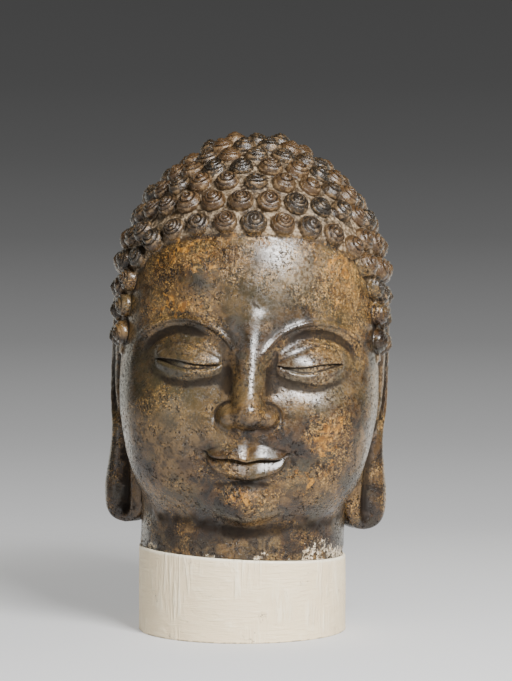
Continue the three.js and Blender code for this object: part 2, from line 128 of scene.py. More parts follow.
def eye_carving(x, z):
    inside = (1 - np.hypot((x - 2.85) / 2.38, (z - 6.3) / 2.12)) * 2.2  # from the brow's line
    h = -0.32 * fade(-0.02, 0.6, inside) * fade(5, 6.9, z) * fade(5.25, 4.1, x)
    h += 0.09 * bell((inside + 0.06) / 0.12) * fade(6.6, 7.5, z) * fade(5.1, 4.3, x)
    h -= 0.035 * bell((inside - 0.055) / 0.04) * fade(6.9, 7.6, z) * fade(5.0, 4.4, x)
    h += 0.58 * np.maximum(0, 1 - ((x - 2.55) / 2.05) ** 2 - ((z - 6.9) / 1.3) ** 2) ** 1.7  # ball
    t = np.clip((x - 1.15) / 2.85, 0, 1)
    span = np.sin(np.pi * t)
    middle = 6.6 + 0.14 * t * t - 0.06 * np.sin(2 * np.pi * t)
    over = z - middle - 0.17 * span**0.8  # from the upper lid's edge
    under = middle - 0.17 * span - z  # from the lower lid's edge
    within = fade(1.12, 1.27, x) * fade(4.05, 3.85, x)
    h += 0.085 * fade(-0.02, 0.035, over) * fade(0.9, 0, over) * within
    h += 0.08 * fade(-0.02, 0.03, under) * fade(0.45, 0.05, under) * within
    h -= 0.05 * bell((z - middle - 0.1 - 0.75 * span**0.75) / 0.055) * within  # crease over the lid
    h -= 0.07 * fade(0.03, -0.03, over) * fade(0.03, -0.03, under) * within
    return h - 0.06 * bell(np.hypot((x - 2.5) / 1.7, (z - 5.75) / 0.45))


def mouth_carving(x, z):
    u = np.clip(x / 1.75, 0, 1)
    meet = 2.76 + 0.15 * u**2.5 - 0.05 * bell(x / 0.34) + 0.035 * bell((x - 0.62) / 0.34)
    bow = meet + 0.62 * (1 - u**2) ** 0.8 * (1 - 0.16 * bell(x / 0.22)) + 0.02
    edge = meet - 0.8 * (1 - u**2.6) ** 0.75 - 0.02
    within = fade(1.77, 1.45, x)
    up = (z - meet) / np.maximum(bow - meet, 0.03)
    down = (meet - z) / np.maximum(meet - edge, 0.03)
    upper = fade(-0.05, 0.5, up) * (1 - 0.8 * fade(0.4, 1, up)) * (1 - fade(0.96, 1.12, up))
    lower = fade(-0.05, 0.5, down) * (1 - 0.85 * fade(0.45, 1, down)) * (1 - fade(0.96, 1.14, down))
    h = within * np.where(z >= meet, 0.34 * (1 - 0.5 * u * u) * upper, 0.36 * (1 - 0.6 * u * u) * lower)
    h -= 0.09 * bell((z - meet) / 0.06) * fade(2.0, 1.65, x)
    h -= 0.18 * bell(np.hypot((x - 1.83) / 0.45, (z - 2.92) / 0.42))  # corner
    return h - 0.24 * bell((z - 1.62) / 0.34) * bell(x / 1.35)  # hollow over the chin


def nose_carving(x, z):
    h = -0.08 * bell(x / 0.19) * fade(3.3, 3.6, z) * fade(4.15, 3.95, z)
    h += 0.06 * bell((x - 0.38) / 0.16) * fade(3.25, 3.55, z) * fade(4.2, 3.8, z)
    turn = np.arctan2(z - 4.5, x - 0.86)
    from_wing = np.hypot(x - 0.86, z - 4.5) - 0.5
    return h - 0.11 * bell(from_wing / 0.1) * fade(-0.9, 0.1, turn) * fade(2.7, 1.9, turn)


def into_hair(p):
    """Distance into the hair from its edge; negative on the face and on the neck."""
    across = np.abs(p[:, 0]) / EDGE_HALF_WIDTH
    along = np.abs(p[:, 2] - EDGE_MIDDLE) / EDGE_HALF_HEIGHT
    ring = (across**EDGE_POWER + along**EDGE_POWER) ** (1 / EDGE_POWER)
    behind = fade(-1.8, 0.6, p[:, 1])
    turning = 1 + 2 * fade(-3.4, -1.6, p[:, 1])  # the side of the head hardly widens as it runs back
    from_face = (ring - 1) * 5.5 * turning * (1 - behind) + 2 * behind
    hem = 6.9 - 3.6 * fade(0.2, 2, p[:, 1])
    return np.minimum(from_face, p[:, 2] - hem)


def carve(directions):
    p = on_masses(directions)
    x, z = np.abs(p[:, 0]), p[:, 2]
    front = fade(-1.5, -3.2, p[:, 1])
    lift = (eye_carving(x, z) + mouth_carving(x, z) + nose_carving(x, z)) * front
    lift += 0.13 * fade(0, 0.12, into_hair(p))  # the hair stands a little proud of the skin
    return p + directions * lift[:, None]


def wanted_edge(p):
    """How fine the carving is at each place, as the length that a mesh edge may have there."""
    x, y, z = np.abs(p[:, 0]), p[:, 1], p[:, 2]
    length = np.full(len(p), 0.36)
    length[(y < 1.5) & (z < 12) & (into_hair(p) < 0.1)] = 0.16
    length[z < 1] = 0.24
    length[(y < 0.2) & (z > -1) & (z < 1.2)] = 0.14
    length[(y < 1) & (np.abs(into_hair(p) - 0.06) < 0.14)] = 0.12
    length[(y < 1) & (z > -1.9) & (z < -1)] = 0.12
    eye = ((x - 2.6) / 1.8) ** 2 + ((z - 6.9) / 0.9) ** 2 < 1
    mouth = (x / 2.1) ** 2 + ((z - 2.75) / 1.1) ** 2 < 1
    nostril = (x < 1.5) & (z > 3.6) & (z < 5.4)
    brow = (np.abs(np.hypot((x - 2.85) / 2.38, (z - 6.3) / 2.12) - 1) < 0.11) & (z > 6.5)
    length[(y < -3) & (eye | mouth | nostril | brow)] = 0.055
    return length


block = bmesh.new()
bmesh.ops.create_icosphere(block, subdivisions=5, radius=1)
for _ in range(5):
    for vertex in block.verts:
        vertex.co.normalize()
    block.verts.index_update()
    block.edges.ensure_lookup_table()
    rough = on_masses(np.array([vertex.co for vertex in block.verts]))
    ends = np.array([[vertex.index for vertex in edge.verts] for edge in block.edges])
    middle = (rough[ends[:, 0]] + rough[ends[:, 1]]) / 2
    too_long = np.linalg.norm(rough[ends[:, 0]] - rough[ends[:, 1]], axis=1) > 1.35 * wanted_edge(middle)
    if not too_long.any():
        break
    long_edges = [block.edges[i] for i in np.flatnonzero(too_long)]
    bmesh.ops.subdivide_edges(block, edges=long_edges, cuts=1, use_grid_fill=True)
    bmesh.ops.triangulate(block, faces=[face for face in block.faces if len(face.verts) > 3])
for vertex in block.verts:
    vertex.co.normalize()
carved = carve(np.array([vertex.co for vertex in block.verts]))
for vertex, spot in zip(block.verts, carved):
    vertex.co = spot

# The break through the neck, fitted to the sloping top of the mount.
break_slope = math.atan((mount_high.z - mount_low.z - MOUNT_HEIGHT) / MOUNT_RADIUS)
seat_height = Vector((0, 0, mount_low.z + MOUNT_HEIGHT + JOINT_GAP))
seat = head_place.inverted() @ (mount_axis + seat_height)
seat_normal = head_place.to_3x3().inverted() @ Vector((math.sin(break_slope), 0, math.cos(break_slope)))
bmesh.ops.bisect_plane(
    block,
    geom=block.verts[:] + block.edges[:] + block.faces[:],
    plane_co=seat,
    plane_no=seat_normal,
    clear_inner=True,
)
bmesh.ops.holes_fill(block, edges=[edge for edge in block.edges if edge.is_boundary], sides=0)
bmesh.ops.triangulate(block, faces=[face for face in block.faces if len(face.verts) > 3])

# Each lock of hair is a snail shell: a strand that starts thin at the rim, winds clockwise up a cone and
# ends in a nub. Rows ring the crown and pass round the back from one temple to the other.
CURL_RADIUS = 0.5
CURL_HEIGHT = 0.47
LOCKS_APART = 1.145
ROWS_APART = 1.05
ROWS = 16
ROWS_OVER_FACE = 7
LOWEST_TEMPLE_LOCK = 7.6


def curl_shell(turns, around, across, height, worn):
    """One lock, its rim in the plane z = 0, with a skirt that is sunk in the head."""
    shell = bmesh.new()
    bmesh.ops.create_grid(shell, x_segments=(turns + 1) * around, y_segments=across, size=1)
    for vertex in shell.verts:
        turned = (vertex.co.x + 1) / 2 * (turns + 1)
        share = (vertex.co.y + 1) / 2
        outer, inner = (CURL_RADIUS * min(1, max(0, 1 - (t - 1) / turns)) for t in (turned, turned + 1))
        radius = outer + (inner - outer) * share
        slope = radius / CURL_RADIUS
        strand = math.sin(math.pi * share) * (outer - inner) * (0.42 - 0.3 * worn)
        cone = height * (0.46 * (1 - slope**5) ** 0.5 + 0.54 * (1 - slope) ** 0.85)
        angle = -2 * math.pi * turned
        vertex.co = (radius * math.cos(angle), radius * math.sin(angle), cone + strand)
    bmesh.ops.remove_doubles(shell, verts=shell.verts, dist=1e-4)
    rim = [edge for edge in shell.edges if edge.is_boundary]
    skirt = bmesh.ops.extrude_edge_only(shell, edges=rim)["geom"]
    for vertex in (item for item in skirt if isinstance(item, bmesh.types.BMVert)):
        vertex.co = (vertex.co.x * 0.9, vertex.co.y * 0.9, -0.3)
    bmesh.ops.holes_fill(shell, edges=[edge for edge in shell.edges if edge.is_boundary], sides=0)
    bmesh.ops.recalc_face_normals(shell, faces=shell.faces)
    bmesh.ops.triangulate(shell, faces=shell.faces)
    mesh = bpy.data.meshes.new("curl")
    shell.to_mesh(mesh)
    shell.free()
    return mesh


def unit(vectors):
    return vectors / np.linalg.norm(vectors, axis=-1, keepdims=True)


def border_spots():
    """The locks that border the face, from the middle of the forehead out and down to each ear."""
    angle = np.arange(math.pi / 2, 0.01, -0.004)
    edge = np.zeros((len(angle), 3))
    edge[:, 0] = EDGE_HALF_WIDTH * np.cos(angle) ** (2 / EDGE_POWER)
    edge[:, 2] = EDGE_MIDDLE + EDGE_HALF_HEIGHT * np.sin(angle) ** (2 / EDGE_POWER)
    edge[:, 1] = -5
    for _ in range(8):
        edge[:, 1] = on_masses(unit(edge - HEART))[:, 1]
    away = unit(np.cross(edge - HEART, np.gradient(edge, axis=0)))
    line = on_masses(unit(edge + 0.47 * away - HEART))
    found = [line[0]]
    for p, edge_height in zip(line, edge[:, 2]):
        if edge_height > LOWEST_TEMPLE_LOCK and np.linalg.norm(p - found[-1]) > LOCKS_APART:
            found.append(p)
    return found + [p * (-1, 1, 1) for p in found[1:]]


def row_lines():
    """Each row's line from over the face round to the back. Rows are evenly apart on the stone itself."""
    around = np.linspace(0, math.pi, 61)
    sink = np.array(Matrix.Rotation(math.radians(-4), 3, "X"))
    walk = []
    for down in np.arange(0, 2.6, 0.012):
        flat = math.sin(down)
        ring = np.column_stack((flat * np.sin(around), -flat * np.cos(around), np.full(61, math.cos(down))))
        walk.append(on_masses(ring @ sink.T))
    walk = np.array(walk)
    steps = np.linalg.norm(np.diff(walk, axis=0), axis=2)
    walked = np.vstack((np.zeros(61), np.cumsum(steps, axis=0)))
    return [walk[(walked >= row * ROWS_APART).argmax(axis=0), np.arange(61)] for row in range(ROWS)]


def evenly_along(line, shift):
    steps = np.linalg.norm(np.diff(line, axis=0), axis=1)
    lengths = np.concatenate(([0], np.cumsum(steps)))
    count = max(1, round(lengths[-1] / LOCKS_APART))
    wanted = lengths[-1] * (np.arange(count + 1 - math.ceil(shift)) + shift) / count
    return np.column_stack([np.interp(wanted, lengths, line[:, axis]) for axis in range(3)])


def stands_clear(p, others, share):
    return np.linalg.norm(np.array(others) - p, axis=1).min() > share * LOCKS_APART


def under_ear(p):
    return p[2] < 9.8 and 0.2 < p[1] < 2.95


curl_spots = border_spots()
for row, line in enumerate(row_lines()):
    over = row < ROWS_OVER_FACE
    if not over:
        free = [into > 0 and stands_clear(p, curl_spots, 0.86) for p, into in zip(line, into_hair(line))]
        if not any(free):
            continue
        line = line[free.index(True):]
    for p in evenly_along(line, (ROWS_OVER_FACE - row) % 2 / 2 if over else 0):
        if into_hair(p[None])[0] > 0 and stands_clear(p, curl_spots, 0.82) and not under_ear(p):
            curl_spots += [p] if abs(p[0]) < 0.3 else [p, p * (-1, 1, 1)]

shuffle = np.random.default_rng(7)
fine_shells = [
    curl_shell(turns, 15, 4, CURL_HEIGHT * tall, worn)
    for turns, tall, worn in ((3, 1, 0), (4, 0.94, 0.1), (3, 1, 0.5), (4, 1, 0), (3, 0.86, 0.2))
]
plain_shells = [
    curl_shell(2, 10, 2, CURL_HEIGHT * tall, worn)
    for tall, worn in ((1, 0.1), (0.92, 0.4), (0.85, 0.6))
]
stump = curl_shell(2, 14, 3, CURL_HEIGHT * 0.4, 0.8)
locks = bmesh.new()
for spot in (Vector(p) for p in curl_spots):
    outward = (spot - Vector(HEART)).normalized()
    topmost = math.hypot(spot.x, spot.y - 1) < 0.6
    facing = outward.y < 0.25
    shells = fine_shells if facing else plain_shells
    shell = stump if topmost else shells[shuffle.integers(len(shells))]
    size = 1.02 + 0.1 * shuffle.random()
    tilt = Matrix.Rotation(math.radians(5) * shuffle.normal(), 4, "X")
    turn = Matrix.Rotation(math.tau * shuffle.random(), 4, "Z")
    stand = outward.to_track_quat("Z", "Y").to_matrix().to_4x4()
    raised = spot + outward * 0.1
    before = len(locks.verts)
    locks.from_mesh(shell)
    locks.verts.ensure_lookup_table()
    bmesh.ops.transform(
        locks,
        matrix=Matrix.Translation(raised) @ stand @ tilt @ turn @ Matrix.Scale(size, 4),
        verts=locks.verts[before:],
    )


# The long ears lie back against the head. Each has a rolled rim, an inner fold, a bowl and a long lobe slit
# down its middle, joined to the neck behind.
EAR_BOTTOM = -0.5
EAR_TOP = 9.9


def peak(value, middle, width):
    return math.exp(-(((value - middle) / width) ** 2))


def ease(start, end, value):
    t = min(1, max(0, (value - start) / (end - start)))
    return t * t * (3 - 2 * t)


def ear_carving(s, t):
    """Height of the ear's carving at a share s of its width, from the front, and t of its height."""
    upper = ease(0.4, 0.5, t)
    lobe = 1 - upper
    h = 0.22 * peak(s, 0.9, 0.1) * upper  # rim
    h += 0.2 * peak(t, 0.95, 0.03) * ease(0, 0.25, s) * ease(1, 0.9, s)
    h += 0.14 * peak(s, 0.56, 0.1) * ease(0.45, 0.56, t) * ease(0.9, 0.8, t)  # inner fold
    h -= 0.34 * peak(s, 0.3, 0.15) * peak(t, 0.62, 0.12)  # bowl
    h += 0.14 * math.exp(-(((s - 0.08) / 0.1) ** 2) - ((t - 0.56) / 0.045) ** 2)
    h += 0.2 * peak(s, 0.8, 0.19) * lobe  # outer roll of the lobe
    h -= 0.34 * peak(s, 0.47, 0.1) * lobe * ease(0.02, 0.08, t)  # its slit
    return h + 0.15 * peak(s, 0.2, 0.16) * lobe


ears = bmesh.new()
bmesh.ops.create_uvsphere(ears, u_segments=44, v_segments=84, radius=1)
for vertex in ears.verts:
    level = 1 - math.acos(min(1, max(-1, vertex.co.z))) / math.pi
    t = 0.4 * level + 0.3 * (1 - math.cos(math.pi * level))
    turn = math.atan2(-vertex.co.y, vertex.co.x)
    front = Vector((4.3 + ease(0.1, 0.75, t), -0.15, 0))
    spread = 0.25 * ease(0.4, 0.1, t) - 0.06 * peak(t, 0.42, 0.12)
    back = Vector((5.98 + spread, 1.35 + 1.3 * ease(0.35, 0.8, t), 0))
    close = math.sqrt(max(0, 1 - abs(2 * t - 1) ** 11))
    along = back - front
    out = Vector((along.y, -along.x, 0)).normalized()
    side, lift = math.cos(turn), math.sin(turn)
    s = 0.5 - 0.5 * close * math.copysign(abs(side) ** 0.8, side)
    depth = math.copysign(abs(lift) ** 0.6, lift) * close
    place = front + along * s + out * depth * (0.2 + ear_carving(s, t) if depth > 0 else 1.5)
    if depth < 0:
        place.x += 0.8 * depth * s
    place.z = EAR_BOTTOM + (EAR_TOP - EAR_BOTTOM) * t
    vertex.co = place
bmesh.ops.recalc_face_normals(ears, faces=ears.faces)
bmesh.ops.mirror(ears, geom=ears.verts[:] + ears.edges[:] + ears.faces[:], axis="X", merge_dist=0)
bmesh.ops.recalc_face_normals(ears, faces=ears.faces)


def stone_object(name, shape):
    mesh = bpy.data.meshes.new(name)
    shape.to_mesh(mesh)
    shape.free()
    made = bpy.data.objects.new(name, mesh)
    bpy.context.scene.collection.objects.link(made)
    return made


head = stone_object("buddha_head", block)
for name, shape in (("ears", ears), ("locks", locks)):
    part = stone_object(name, shape)
    join = head.modifiers.new(name, "BOOLEAN")
    join.operation = "UNION"
    join.solver = "MANIFOLD"
    join.object = part
    joined = bpy.data.meshes.new_from_object(head.evaluated_get(bpy.context.evaluated_depsgraph_get()))
    head.modifiers.clear()
    head.data = joined
    bpy.data.objects.remove(part)

# Years of handling: the surface is softly uneven, more so on the locks, the break is chipped, and there is
# an old knock on one cheek with a fine crack under it. The join leaves a few fins, faces folded flat on each
# other, and they come off first.
whole = bmesh.new()
whole.from_mesh(head.data)
bmesh.ops.remove_doubles(whole, verts=whole.verts, dist=1e-4)
bmesh.ops.dissolve_degenerate(whole, dist=1e-5, edges=whole.edges)
bmesh.ops.triangulate(whole, faces=[face for face in whole.faces if len(face.verts) > 3])
fin_tips = [vertex for vertex in whole.verts if len(vertex.link_faces) < 3]
bmesh.ops.delete(whole, geom=fin_tips, context="VERTS")
whole.normal_update()
whole.verts.index_update()
spots = np.array([vertex.co for vertex in whole.verts])
normals = np.array([vertex.normal for vertex in whole.verts])
edge_ends = np.array([[vertex.index for vertex in edge.verts] for edge in whole.edges])


def noise_at(points, scale, offset=0.0):
    return np.array([noise.noise(Vector(point) * scale + Vector((offset, 0, 0))) for point in points])


def neighbour_mean(values, rounds):
    """Each vertex's value averaged with those around it, as many times as asked."""
    count = np.zeros(len(values))
    np.add.at(count, edge_ends.ravel(), 1)
    count = count.reshape((-1,) + (1,) * (values.ndim - 1))
    for _ in range(rounds):
        total = np.zeros_like(values)
        np.add.at(total, edge_ends[:, 0], values[edge_ends[:, 1]])
        np.add.at(total, edge_ends[:, 1], values[edge_ends[:, 0]])
        values = (values + total) / (1 + count)
    return values


above_break = (spots - np.array(seat)) @ np.array(seat_normal.normalized())
x, y, z = spots.T
chipped = noise_at(spots, 1.3, 40) + 0.5 * noise_at(spots, 3.4, 11) + 0.4 * bell((x - 3.0) / 1.1) * (y < 0)
chip_height = 0.32 + 0.5 * bell((x - 3.2) / 0.8) + 0.25 * bell((x + 1.3) / 0.5)
edge_chip = fade(0.0, 0.35, chipped) * fade(chip_height, 0.02, above_break) * (above_break > 0.004)
knock = bell(np.hypot((x - 2.4) / 0.16, (z - 4.17) / 0.2)) * (y < -2) * (0.6 + 0.8 * noise_at(spots, 5))
crack_line = z - (2.93 - 0.37 * (x - 2.2) + 0.06 * np.sin(5 * x))
crack = bell(crack_line / 0.045) * fade(2.1, 2.3, x) * fade(3.75, 3.4, x) * (y < -2)
from_heart = spots - HEART
bare = on_masses(from_heart / np.linalg.norm(from_heart, axis=1)[:, None])
height = np.linalg.norm(from_heart, axis=1) - np.linalg.norm(bare - HEART, axis=1)
in_hair = fade(-0.05, 0.1, into_hair(bare))
uneven = 0.016 * noise_at(spots, 0.9) + 0.008 * noise_at(spots, 2.6, 5)
uneven += 0.035 * noise_at(spots, 4.2, 23) * in_hair * fade(0.1, 0.3, height)
inward = uneven - 0.11 * edge_chip - 0.09 * np.clip(knock, 0, 1) - 0.018 * crack
moved = spots + normals * (inward * (above_break > 0.004))[:, None]
for vertex, spot in zip(whole.verts, moved):
    vertex.co = spot

# How hollow or how proud each place is, and how deep it lies between the locks: that is where dust has
# settled, where hands have rubbed the stone, and where the hollows take dirt and painted shade.
hollow = np.einsum("ij,ij->i", neighbour_mean(moved, 3) - moved, normals)
crest = neighbour_mean(hollow, 8) - hollow
wide_hollow = np.einsum("ij,ij->i", neighbour_mean(moved, 14) - moved, normals)
lock_tree = KDTree(len(curl_spots))
for number, p in enumerate(curl_spots):
    lock_tree.insert(p, number)
lock_tree.balance()
nearest_lock = np.array([lock_tree.find(p)[1] for p in bare])
lock_tone = shuffle.random(len(curl_spots))
finish_and_painted_light = {
    "hollow": (np.clip(hollow / 0.02, -1, 1) * 0.6 + np.clip(wide_hollow / 0.06, -1, 1) * 0.4)
    * (1 - 0.55 * bell(into_hair(bare) / 0.15)),
    "dust": in_hair * fade(0.24, 0.07, height) * (above_break > 0.1),
    "lock": in_hair * fade(0.06, 0.2, height),
    "crest": np.clip(crest / 0.03, -1, 1),
    "tone": lock_tone[nearest_lock] * in_hair,
    "flaked": np.clip(1.3 * fade(-0.1, 0.4, chipped) * fade(1.5 * chip_height, 0.1, above_break), 0, 1),
    # painted shade under the jaw and down the front of the neck
    "throat_shade": fade(0.3, -0.7, z) * (y < 3),
    "crack": np.clip(knock * 0.9 + crack, 0, 1),
}
for edge in whole.edges:
    edge.smooth = True
for face in whole.faces:
    face.smooth = True
bmesh.ops.transform(whole, matrix=head_place, verts=whole.verts)
whole.to_mesh(head.data)
whole.free()


def patch(middle, reach):
    """A stain on the front of the head, round a place across and up the face."""
    across, up = (x - middle[0]) / reach[0], (z - middle[1]) / reach[1]
    return bell(np.hypot(across, up)) * (y < -1)


finish_and_painted_light["ochre"] = np.clip(
    0.75 * patch((-2.6, 11.0), (1.9, 0.9))
    + 0.45 * patch((0.6, 11.9), (3.0, 0.5))
    + 0.75 * patch((3.6, 10.6), (1.3, 1.2))
    + 0.8 * patch((-3.4, 9.0), (1.5, 0.6))
    + 0.8 * patch((3.3, 3.9), (1.1, 1.3))
    + 0.55 * patch((2.5, 1.9), (1.0, 0.9))
    + 0.9 * patch((-0.2, 1.2), (1.0, 0.5))
    + 0.4 * patch((-3.3, 4.2), (0.8, 1.4))
    + 0.4 * patch((4.6, 8.4), (0.7, 1.6)),
    0,
    1,
)
finish_and_painted_light["olive"] = np.clip(patch((-3.0, 5.6), (2.0, 2.2)) * 0.8 + patch((0.4, 9.6), (1.6, 1.4)) * 0.6, 0, 1)
# a pale rubbed patch on one cheek, and a painted highlight on the forehead
finish_and_painted_light["rubbed_and_highlight"] = np.clip(patch((2.6, 6.0), (1.7, 1.2)) * 0.9 + patch((1.6, 10.6), (1.2, 1.0)), 0, 1)
for name, values in finish_and_painted_light.items():
    head.data.attributes.new(name, "FLOAT", "POINT").data.foreach_set("value", values.astype(np.float32))


class Nodes:
    """Adds and links the nodes of one material."""

    def __init__(self, name):
        self.material = bpy.data.materials.new(name)
        self.material.use_nodes = True
        self.tree = self.material.node_tree
        self.shader = self.tree.nodes["Principled BSDF"]

    def put(self, socket, value):
        if isinstance(value, bpy.types.NodeSocket):
            self.tree.links.new(value, socket)
        else:
            socket.default_value = value

    def place(self):
        return self.tree.nodes.new("ShaderNodeTexCoord").outputs["Object"]

    def read(self, name):
        node = self.tree.nodes.new("ShaderNodeAttribute")
        node.attribute_name = name
        return node.outputs["Fac"]

    def reckon(self, operation, a, b):
        node = self.tree.nodes.new("ShaderNodeMath")
        node.operation = operation
        self.put(node.inputs[0], a)
        self.put(node.inputs[1], b)
        return node.outputs[0]

    def plus(self, a, b):
        return self.reckon("ADD", a, b)

    def less(self, a, b):
        return self.reckon("SUBTRACT", a, b)

    def times(self, a, b):
        return self.reckon("MULTIPLY", a, b)

    def most(self, a, b):
        return self.reckon("MAXIMUM", a, b)

    def cloud(self, scale, detail=3.0, rough=0.55, twist=0.0):
        node = self.tree.nodes.new("ShaderNodeTexNoise")
        self.put(node.inputs["Vector"], self.place())
        node.inputs["Scale"].default_value = scale
        node.inputs["Detail"].default_value = detail
        node.inputs["Roughness"].default_value = rough
        node.inputs["Distortion"].default_value = twist
        return node.outputs["Fac"]

    def waver(self, amount, *cloud):
        """Noise that swings about zero."""
        return self.times(self.plus(self.cloud(*cloud), -0.5), amount)

    def strokes(self, scale):
        """Noise stretched into strokes: a finer scale on one axis than on another."""
        stretch = self.tree.nodes.new("ShaderNodeMapping")
        self.put(stretch.inputs["Vector"], self.place())
        stretch.inputs["Scale"].default_value = scale
        node = self.tree.nodes.new("ShaderNodeTexNoise")
        self.put(node.inputs["Vector"], stretch.outputs["Vector"])
        node.inputs["Scale"].default_value = 1
        node.inputs["Detail"].default_value = 5
        node.inputs["Distortion"].default_value = 0.4
        return node.outputs["Fac"]

    def cells(self, scale):
        node = self.tree.nodes.new("ShaderNodeTexVoronoi")
        self.put(node.inputs["Vector"], self.place())
        node.inputs["Scale"].default_value = scale
        return node.outputs["Distance"]

    def ramp(self, value, low, high, to_low=0.0, to_high=1.0):
        node = self.tree.nodes.new("ShaderNodeMapRange")
        node.interpolation_type = "SMOOTHSTEP"
        self.put(node.inputs["Value"], value)
        for socket, number in zip(("From Min", "From Max", "To Min", "To Max"), (low, high, to_low, to_high)):
            node.inputs[socket].default_value = number
        return node.outputs["Result"]

    def mix(self, share, a, b):
        node = self.tree.nodes.new("ShaderNodeMix")
        node.data_type = "RGBA"
        self.put(node.inputs["Factor"], share)
        self.put(node.inputs["A"], a if isinstance(a, bpy.types.NodeSocket) else (*a, 1))
        self.put(node.inputs["B"], b if isinstance(b, bpy.types.NodeSocket) else (*b, 1))
        return node.outputs["Result"]

    def bump(self, height, distance, strength=1.0):
        node = self.tree.nodes.new("ShaderNodeBump")
        node.inputs["Strength"].default_value = strength
        node.inputs["Distance"].default_value = distance
        self.put(node.inputs["Height"], height)
        return node.outputs["Normal"]


# The stone's finish: a dark brown lacquer over olive-grey stone, worn thin and flecked with gold all over and
# bare to ochre in patches, with black specks in its pits, pale dust between the locks and fresh pale stone
# along the broken edge. Painted shade darkens the throat, the hollows and the grooves of the locks, and a
# painted highlight lightens the forehead.
BLACK_DIRT = (0.006, 0.004, 0.003)
stone = Nodes("patinated_stone_and_painted_light")
broad = stone.cloud(11, 4, 0.6, 0.6)
mottled = stone.cloud(40, 6, 0.7, 0.8)
fine = stone.cloud(190, 5, 0.75)
dark = stone.mix(stone.ramp(mottled, 0.43, 0.57), (0.011, 0.0065, 0.0035), (0.04, 0.02, 0.0075))
light = stone.mix(stone.ramp(mottled, 0.43, 0.57), (0.045, 0.025, 0.0095), (0.135, 0.078, 0.029))
colour = stone.mix(stone.ramp(broad, 0.41, 0.62), dark, light)
olive = stone.times(stone.ramp(stone.cloud(22, 5), 0.47, 0.6), 0.5)
colour = stone.mix(stone.most(olive, stone.read("olive")), colour, (0.048, 0.04, 0.021))
# Lighter on the rubbed cheek, and a painted highlight on the forehead.
rubbed_and_highlight = stone.times(stone.read("rubbed_and_highlight"), stone.ramp(fine, 0.38, 0.6))
colour = stone.mix(rubbed_and_highlight, colour, (0.15, 0.115, 0.07))

# Gold flecks, thin and everywhere, thicker where the lacquer is bare.
gold_there = stone.plus(stone.cloud(15, 4), stone.times(stone.read("ochre"), 0.25))
streak = stone.cloud(190, 6, 0.8, 2.2)
fleck = stone.times(stone.ramp(streak, 0.51, 0.57), stone.ramp(gold_there, 0.47, 0.64))
gold = stone.mix(stone.ramp(fine, 0.42, 0.58), (0.16, 0.075, 0.015), (0.52, 0.3, 0.085))
colour = stone.mix(stone.times(fleck, 0.82), colour, gold)
bare_patch = stone.plus(stone.read("ochre"), stone.waver(3.4, 50, 8, 0.75, 1.4))
bare_patch = stone.ramp(bare_patch, 0.7, 0.82)
ochre = stone.mix(stone.ramp(stone.cloud(120, 4), 0.42, 0.6), (0.14, 0.056, 0.009), (0.46, 0.215, 0.032))
colour = stone.mix(stone.times(bare_patch, 0.85), colour, ochre)

# Painted shade darkens the throat and the neck under the jaw, and every hollow is darker with dirt and
# painted shade, with black specks in its pits and torn edges of dark lacquer.
throat_shade = stone.times(stone.read("throat_shade"), stone.ramp(mottled, 0.64, 0.44))
colour = stone.mix(stone.times(throat_shade, 0.8), colour, (0.015, 0.009, 0.005))
pitted = stone.ramp(stone.cloud(30, 3), 0.38, 0.58)
speck = stone.times(stone.ramp(stone.cloud(240, 4, 0.7), 0.545, 0.595), pitted)
dots = stone.times(stone.ramp(stone.cells(150), 0.24, 0.15), stone.ramp(stone.cloud(60, 2), 0.49, 0.55))
speck = stone.most(speck, dots)
colour = stone.mix(stone.times(speck, 0.9), colour, BLACK_DIRT)
blot = stone.ramp(stone.cloud(45, 8, 0.8, 1.8), 0.56, 0.64)
colour = stone.mix(stone.times(blot, 0.65), colour, (0.014, 0.009, 0.006))
# Every hollow is darkened: partly dirt, partly painted shade.
hollow_dirt_and_shade = stone.ramp(stone.plus(stone.read("hollow"), stone.times(stone.plus(mottled, -0.5), 1.2)), 0.12, 0.75)
hollow_dirt_and_shade = stone.times(hollow_dirt_and_shade, stone.less(1, stone.times(stone.read("lock"), 0.6)))
colour = stone.mix(stone.times(hollow_dirt_and_shade, 0.85), colour, (0.009, 0.006, 0.004))

# The locks differ in colour from one to the next and are rubbed on their ridges; dust lies between them.
tone = stone.read("tone")
lock = stone.read("lock")
lock_colour = stone.mix(stone.ramp(tone, 0.0, 1.0), (0.013, 0.01, 0.0065), (0.056, 0.029, 0.011))
smeared = stone.times(stone.ramp(stone.cloud(130, 6, 0.8, 0.8), 0.5, 0.58), 0.6)
lock_colour = stone.mix(smeared, lock_colour, (0.085, 0.054, 0.025))
colour = stone.mix(stone.times(lock, 0.95), colour, lock_colour)
worn_crest = stone.plus(stone.read("crest"), stone.waver(4.0, 130, 6, 0.75))
ridge = stone.times(lock, stone.ramp(worn_crest, 0.8, 1.35))
colour = stone.mix(stone.times(ridge, 0.6), colour, (0.25, 0.16, 0.08))
# The grooves of the locks are darkened with painted shade.
shaded_groove = stone.times(lock, stone.ramp(worn_crest, -0.05, -0.75))
colour = stone.mix(stone.times(shaded_groove, 0.85), colour, (0.008, 0.006, 0.0045))
dusty = stone.plus(stone.read("dust"), stone.waver(2.6, 85, 7, 0.75, 0.8))
dusty = stone.ramp(dusty, 0.5, 0.95)
dust = stone.mix(stone.ramp(fine, 0.38, 0.62), (0.1, 0.066, 0.036), (0.38, 0.29, 0.19))
colour = stone.mix(stone.times(dusty, 0.85), colour, dust)

flaked = stone.read("flaked")
chip = stone.plus(stone.times(flaked, 0.55), stone.waver(3.2, 170, 5, 0.8))
chip = stone.times(stone.ramp(chip, 0.42, 0.6), stone.ramp(flaked, 0.02, 0.12))
fresh = stone.mix(stone.ramp(fine, 0.42, 0.56), (0.33, 0.24, 0.14), (0.85, 0.73, 0.55))
colour = stone.mix(stone.times(chip, 0.92), colour, fresh)
colour = stone.mix(stone.times(stone.read("crack"), 0.9), colour, BLACK_DIRT)
stone.put(stone.shader.inputs["Base Color"], colour)

